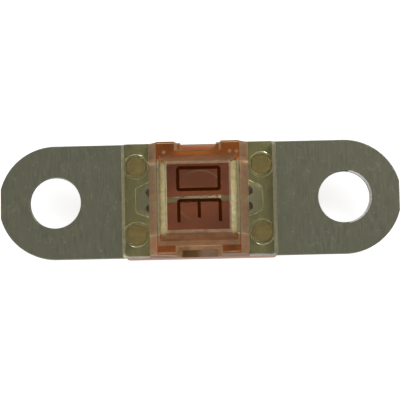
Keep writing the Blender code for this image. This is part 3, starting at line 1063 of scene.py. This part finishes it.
def on_ejector_mark(point):
    """Whether a face lies in the mark's arcs, just above the chamber's ceiling."""
    inside = math.dist(point[:2], EJECTOR_CENTRE) < EJECTOR_RADIUS + FLAT
    return inside and FLAT < point.z - CHAMBER_TOP < EJECTOR_DEPTH + FLAT


def on_window_edge(point, normal):
    """Whether a face lies on the rounded rim of the window's top, or on its long edges, both painted as
    highlights.
    """
    high = point.z > WINDOW_TOP - COVER_ROUNDING + FLAT
    return high and (normal.z < NEARLY_LEVEL or abs(point.y) > WINDOW_LINE)


def on_window_side(point, normal):
    """Whether a face lies on one of the window's sloped long sides."""
    return DECK_TOP < point.z < WINDOW_TOP and abs(normal.y) > 0.4 and sloped(normal)


def on_plate_end(point):
    """Whether a face lies on one of the plate's two ends."""
    outside = abs(point.x) > HOUSING_END - FLANK_END_DRAFT - NEARBY
    return outside and COVER_BOTTOM < point.z < FLANK_TOP - 2 * FLAT


def in_painted_notch(point, normal):
    """Whether a face lies on a notch's walls, or on the ledge of the near notch."""
    inside = abs(point.x) < NOTCH_TOP_WIDTH / 2 + NEARBY
    deep = COVER_SIDE - NOTCH_DEPTH - FLAT < abs(point.y) < DECK_SIDE - NEARBY
    wall = abs(normal.z) < 0.5 and NOTCH_STEP_TOP < point.z < DECK_TOP - FLAT
    ledge = normal.z > 0.5 and abs(point.z - NOTCH_STEP_TOP) < NEARBY and point.y < 0
    return inside and deep and (wall or ledge)


def past_painted_lines(y):
    """How far a place lies outside the two lines across the sloped ends; below zero between them."""
    return y - PAINTED_LINE_FAR if y > 0 else -PAINTED_LINE_NEAR - y


def deck_finish(point):
    """Painted highlight along the near edge, hazy in front of the window and painted highlights beside its
    ends.
    """
    if point.y < -PAINTED_EDGE_DECK:
        return PAINTED_EDGE
    if NOTCH_DEPTH - COVER_SIDE < point.y < NEARBY - WINDOW_SIDE - WINDOW_SLOPE_Y:
        return HAZY
    return PAINTED_HIGHLIGHT if abs(point.x) > WINDOW_FOOT and past_painted_lines(point.y) < 0 else CLEAR


def slope_finish(point):
    """Painted highlight along the foot and on the two lines, hazy beyond the far line and painted light
    elsewhere.
    """
    if abs(point.x) > SLOPE_LINE or 0 < past_painted_lines(point.y) < PAINTED_LINE_WIDTH:
        return PAINTED_HIGHLIGHT
    return HAZY if point.y > PAINTED_LINE_FAR else SLOPE_PAINTED_LIGHT


def cover_finish(face):
    """Finish of one face of the cover, with painted highlights, reflections and shade among them."""
    point, normal = face.center, face.normal
    side = PAINTED_HIGHLIGHT if point.y > 0 else NEAR_SIDE_SHADE
    if on_deck(point, normal):
        return deck_finish(point)
    if on_slope(point, normal):
        return slope_finish(point)
    if in_dimple(point):
        return PAINTED_EDGE if point.z > DECK_TOP - DIMPLE_SIZE else CLEAR
    if on_plate_side(point, normal):
        return CLEAR if abs(point.x) > BLOCK_FOOT else side
    if on_block_side(point, normal):
        return PAINTED_EDGE if point.z > PAINTED_EDGE_SIDE else side
    if on_inner_end(point, normal):
        return END_WALL_REFLECTION
    if point.z < HEAD_TOP + FLAT:
        return STAKED_HEAD
    if on_ejector_mark(point) or on_window_edge(point, normal):
        return PAINTED_EDGE
    if on_window_side(point, normal):
        return WINDOW_RIM_SHADE
    if on_plate_end(point):
        return PAINTED_HIGHLIGHT
    return PAINTED_EDGE if in_painted_notch(point, normal) else CLEAR


def make_cover(look):
    """Cover with its slots for the tabs, chamber, recesses, moulding marks, notches and pegs."""
    edge = look.edge_round
    cover = cover_shell(edge)
    for side in SIDES:
        ends = sorted((side * (TAB_END - FIT), side * (HOUSING_END + CUT_PAST)))
        slot = rectangle(*ends, -COVER_SIDE - CUT_PAST, COVER_SIDE + CUT_PAST)
        cut(cover, solid("tab_slot", [(slot, STRIP_BOTTOM - CUT_PAST), (slot, COVER_BOTTOM)]))
    cut(cover, solid("chamber", eased(chamber_levels(), high=edge)))
    recess = [(recess_outline(), STRIP_BOTTOM - CUT_PAST), (recess_outline(), RECESS_ROOF)]
    cut(cover, solid("recess", eased(recess, high=edge)))
    for start, end in EJECTOR_ARCS:
        mark = arc(EJECTOR_CENTRE, EJECTOR_RADIUS, start, end, HOLE_STEPS // 2)
        mark += arc(EJECTOR_CENTRE, EJECTOR_RADIUS - EJECTOR_WIDTH, end, start, HOLE_STEPS // 2)
        levels = [(mark, CHAMBER_TOP - OVERLAP), (mark, CHAMBER_TOP + EJECTOR_DEPTH)]
        cut(cover, solid("ejector_mark", levels))
    for place in DIMPLE_PLACES:
        ring, tip = circle(place, DIMPLE_SIZE, 4), circle(place, DIMPLE_TIP, 4)
        dimple = [(tip, DECK_TOP - DIMPLE_SIZE / 2), (ring, DECK_TOP), (ring, DECK_TOP + CUT_PAST)]
        cut(cover, solid("dimple", dimple))
    for place in PEG_PLACES:
        ring = circle(place, RELIEF_RADIUS, PEG_STEPS)
        relief = [(ring, COVER_BOTTOM - OVERLAP), (ring, COVER_BOTTOM + RELIEF_DEPTH)]
        cut(cover, solid("relief", eased(relief, high=PEG_FILLET)))
    for side in SIDES:
        cut(cover, solid("notch", eased(notch_levels(side), low=edge)))
        cut(cover, solid("notch_step", notch_step_levels(side)))
    join(cover, solid("pegs", *[peg_levels(place) for place in PEG_PLACES]))
    finish_shape(cover)
    split_finishes(cover.data)
    cover.data.materials.append(cover_material(look))
    for finish in CLOUDY_AND_PAINTED_FINISHES:
        cover.data.materials.append(cloudy_and_painted_material(*finish))
    for face in cover.data.polygons:
        face.material_index = cover_finish(face)
    return cover


# Base


def peg_hole_levels(place):
    """Hole for a peg with a wider seat for its head below."""
    return [
        (circle(place, HEAD_RADIUS + FIT, PEG_STEPS), -CUT_PAST),
        (circle(place, HEAD_RADIUS + FIT, PEG_STEPS), HEAD_TOP + FIT),
        (circle(place, PEG_RADIUS + FIT, PEG_STEPS), HEAD_TOP + FIT),
        (circle(place, PEG_RADIUS + FIT, PEG_STEPS), BASE_TOP + CUT_PAST),
    ]


def make_base(look):
    """Base with its chamber, recesses and holes for the pegs."""
    full = rounded_rectangle(HOUSING_END, BASE_SIDE, BASE_CORNER_RADIUS)
    base = solid("coloured_base", eased([(full, 0.0), (full, BASE_TOP)], BASE_FOOT_RADIUS, look.edge_round))
    ring = chamber_ring(TAB_END, CHAMBER_SIDE)
    cut(base, solid("chamber", [(ring, CHAMBER_FLOOR), (ring, BASE_TOP + CUT_PAST)]))
    recess = [(recess_outline(), BASE_TOP - RECESS_DEPTH), (recess_outline(), BASE_TOP + CUT_PAST)]
    cut(base, solid("recess", recess))
    cut(base, solid("peg_holes", *[peg_hole_levels(place) for place in PEG_PLACES]))
    finish_shape(base)
    base.data.materials.append(base_material(look))
    return base


# Print


def stroke_outline(points, width, closed):
    """Left and right edges of a stroke along points, mitred at its corners."""
    left, right = [], []
    count = len(points)
    for place, point in enumerate(points):
        before = points[place - 1] if place or closed else None
        after = points[(place + 1) % count] if place < count - 1 or closed else None
        legs = []
        if before is not None:
            legs.append((Vector(point) - Vector(before)).normalized())
        if after is not None:
            legs.append((Vector(after) - Vector(point)).normalized())
        along = sum(legs, Vector((0.0, 0.0))).normalized()
        across = Vector((-along.y, along.x))
        stretch = width / 2 / max(0.5, along.dot(legs[0]))
        left.append(Vector(point) + across * stretch)
        right.append(Vector(point) - across * stretch)
    return left, right


def add_stroke(bm, points, width, low, high, closed=False):
    """Flat bar along points, from one height to another."""
    rings = []
    for left, right in zip(*stroke_outline(points, width, closed)):
        corners = ((left, low), (right, low), (right, high), (left, high))
        rings.append([bm.verts.new((*place, z)) for place, z in corners])
    spans = list(zip(rings, rings[1:])) + ([(rings[-1], rings[0])] if closed else [])
    for first, second in spans:
        for side in range(4):
            after = (side + 1) % 4
            bm.faces.new((first[side], first[after], second[after], second[side]))
    if not closed:
        bm.faces.new(list(reversed(rings[0])))
        bm.faces.new(rings[-1])


def make_print(look):
    """Digits 3 and 0, which read from the long side of the fuse."""
    bm = bmesh.new()
    low = WINDOW_TOP + INK_GAP
    high = low + look.thickness
    zero = rounded_rectangle(*ZERO_HALF, ZERO_CORNER)
    zero = [(x + ZERO_CENTRE[0], y + ZERO_CENTRE[1]) for x, y in zero]
    add_stroke(bm, zero, look.stroke, low, high, closed=True)
    bend_y = THREE_SPINE - THREE_CORNER
    path = [
        THREE_LEFT,
        *arc((THREE_LEFT[0] + THREE_CORNER, bend_y), THREE_CORNER, 180, 90, CORNER_STEPS),
        *arc((THREE_RIGHT[0] - THREE_CORNER, bend_y), THREE_CORNER, 90, 0, CORNER_STEPS),
        THREE_RIGHT,
    ]
    add_stroke(bm, path, look.stroke, low, high)
    start = (THREE_MIDDLE[0], THREE_SPINE - look.stroke / 4)
    add_stroke(bm, [start, THREE_MIDDLE], look.stroke, low, high - INK_GAP)
    bmesh.ops.recalc_face_normals(bm, faces=bm.faces)
    mesh = bpy.data.meshes.new("rating_print")
    bm.to_mesh(mesh)
    bm.free()
    item = bpy.data.objects.new("rating_print", mesh)
    bpy.context.scene.collection.objects.link(item)
    item.data.materials.append(ink_material(look))
    return item


# Stage


def make_floor(look):
    """Pale floor that looks white to the camera and in mirrors, and keeps the shadow of the fuse."""
    half = look.floor_size / 2
    mesh = bpy.data.meshes.new("floor")
    corners = [(x, y, FLOOR_TOP) for x, y in rectangle(-half, half, -half, half)]
    mesh.from_pydata(corners, [], [(0, 1, 2, 3)])
    floor = bpy.data.objects.new("floor", mesh)
    bpy.context.scene.collection.objects.link(floor)
    made = bpy.data.materials.new("pale_floor")
    made.use_nodes = True
    tree = made.node_tree
    shader = tree.nodes["Principled BSDF"]
    feed(tree, shader, Base_Color=(*look.floor_colour, 1.0), Roughness=0.9, Specular_IOR_Level=0.0)
    rays = tree.nodes.new("ShaderNodeLightPath")
    seen = product(tree, rays.outputs["Is Camera Ray"], FLOOR_SEEN)
    mirrored = product(tree, rays.outputs["Is Glossy Ray"], FLOOR_MIRRORED)
    strength = math_node(tree, "ADD", seen, mirrored)
    glow = node(tree, "ShaderNodeEmission", Color=(1.0, 1.0, 1.0, 1.0), Strength=strength)
    both = node(tree, "ShaderNodeAddShader", in_0=shader.outputs[0], in_1=glow.outputs[0])
    feed(tree, tree.nodes["Material Output"], Surface=both.outputs[0])
    mesh.materials.append(made)


def make_surroundings(look):
    """Soft light from all around, brighter low down than overhead."""
    world = bpy.data.worlds.new("soft_tent")
    bpy.context.scene.world = world
    world.use_nodes = True
    tree = world.node_tree
    up = tree.nodes.new("ShaderNodeTexCoord").outputs["Generated"]
    up = node(tree, "ShaderNodeSeparateXYZ", in_0=up).outputs[2]
    sky = mix_colour(tree, ramp(tree, up, 0.15, 0.95), (look.horizon,) * 3, (look.zenith,) * 3)
    feed(tree, tree.nodes["Background"], Color=sky)


def make_lamp(name, direction, size, power):
    """Round lamp that faces the middle of the fuse."""
    data = bpy.data.lights.new(name, "AREA")
    data.shape = "DISK"
    data.size = size
    data.energy = power
    lamp = bpy.data.objects.new(name, data)
    bpy.context.scene.collection.objects.link(lamp)
    away = Vector(direction).normalized()
    lamp.location = away * LAMP_DISTANCE
    lamp.rotation_euler = away.to_track_quat("Z", "Y").to_euler()


def make_camera(look):
    """Camera nearly above the strip, turned, aimed and shifted as the photograph's."""
    data = bpy.data.cameras.new("camera")
    camera = bpy.data.objects.new("camera", data)
    bpy.context.scene.collection.objects.link(camera)
    target = Vector((0.0, 0.0, STRIP_TOP))
    toward = Vector(CAMERA_FROM).normalized()
    right = (Vector((1.0, 0.0, 0.0)) - toward.x * toward).normalized()
    up = toward.cross(right)
    turn = Matrix((right, up, toward)).transposed() @ Matrix.Rotation(CAMERA_ROLL, 3, "Z")
    camera.matrix_world = Matrix.Translation(target + look.camera_distance * toward) @ turn.to_4x4()
    field = PHOTO_WIDTH / PHOTO_PIXELS_PER_MM * MM
    data.lens = data.sensor_width * look.camera_distance / field
    data.shift_x, data.shift_y = (pixels / PHOTO_WIDTH for pixels in PHOTO_SHIFT)
    data.clip_start = 0.01
    data.clip_end = 5
    bpy.context.scene.camera = camera


class FUSE_OT_strip(Operator):
    """Builds the stamped metal strip with its tabs and its link"""

    bl_idname = "fuse.strip"
    bl_label = "Stamped strip"

    def execute(self, context):
        piece = make_strip(context.scene.fuse_strip_look)
        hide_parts("fuse_strip")
        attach(piece, "root")
        return {"FINISHED"}


class FUSE_OT_base(Operator):
    """Builds the coloured base with its chamber and peg holes"""

    bl_idname = "fuse.base"
    bl_label = "Coloured base"

    def execute(self, context):
        piece = make_base(context.scene.fuse_base_look)
        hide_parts("base")
        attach(piece, "root")
        return {"FINISHED"}


class FUSE_OT_cover(Operator):
    """Builds the clear cover with its window, pegs and notches"""

    bl_idname = "fuse.cover"
    bl_label = "Clear cover"

    def execute(self, context):
        piece = make_cover(context.scene.fuse_cover_look)
        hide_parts("cover")
        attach(piece, "root")
        return {"FINISHED"}


class FUSE_OT_print(Operator):
    """Prints the rating on the window"""

    bl_idname = "fuse.print"
    bl_label = "Printed rating"

    def execute(self, context):
        piece = make_print(context.scene.fuse_print_look)
        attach(piece, "root")
        return {"FINISHED"}


class FUSE_OT_stage(Operator):
    """Lays the floor and places the surroundings, lamps and camera"""

    bl_idname = "fuse.stage"
    bl_label = "Floor, lamps and camera"

    def execute(self, context):
        look = context.scene.fuse_stage_look
        make_floor(look)
        make_surroundings(look)
        make_lamp("key_lamp", KEY_FROM, KEY_SIZE, look.key_power)
        make_lamp("fill_lamp", FILL_FROM, FILL_SIZE, look.fill_power)
        make_camera(look)
        context.scene.view_settings.view_transform = "Standard"
        return {"FINISHED"}


OPERATORS = (FUSE_OT_strip, FUSE_OT_base, FUSE_OT_cover, FUSE_OT_print, FUSE_OT_stage)
LOOKS = {
    "fuse_strip_look": StripLook,
    "fuse_base_look": BaseLook,
    "fuse_cover_look": CoverLook,
    "fuse_print_look": PrintLook,
    "fuse_stage_look": StageLook,
}


class FUSE_PT_panel(Panel):
    """Lists the pieces of the fuse with their sizes and colours"""

    bl_idname = "FUSE_PT_panel"
    bl_label = "Strip fuse"
    bl_space_type = "VIEW_3D"
    bl_region_type = "UI"
    bl_category = "Strip fuse"

    def draw(self, context):
        for operator, (prop, look) in zip(OPERATORS, LOOKS.items()):
            box = self.layout.box()
            box.operator(operator.bl_idname)
            for name in look.__annotations__:
                box.prop(getattr(context.scene, prop), name)


def register():
    for item in (*LOOKS.values(), *OPERATORS, FUSE_PT_panel):
        bpy.utils.register_class(item)
    for prop, look in LOOKS.items():
        setattr(bpy.types.Scene, prop, PointerProperty(type=look))


def unregister():
    for prop in LOOKS:
        delattr(bpy.types.Scene, prop)
    for item in reversed((*LOOKS.values(), *OPERATORS, FUSE_PT_panel)):
        bpy.utils.unregister_class(item)


def main():
    """Builds every piece and the stage."""
    register()
    bpy.ops.fuse.strip()
    bpy.ops.fuse.base()
    bpy.ops.fuse.cover()
    bpy.ops.fuse.print()
    bpy.ops.fuse.stage()


if __name__ == "__main__":
    main()
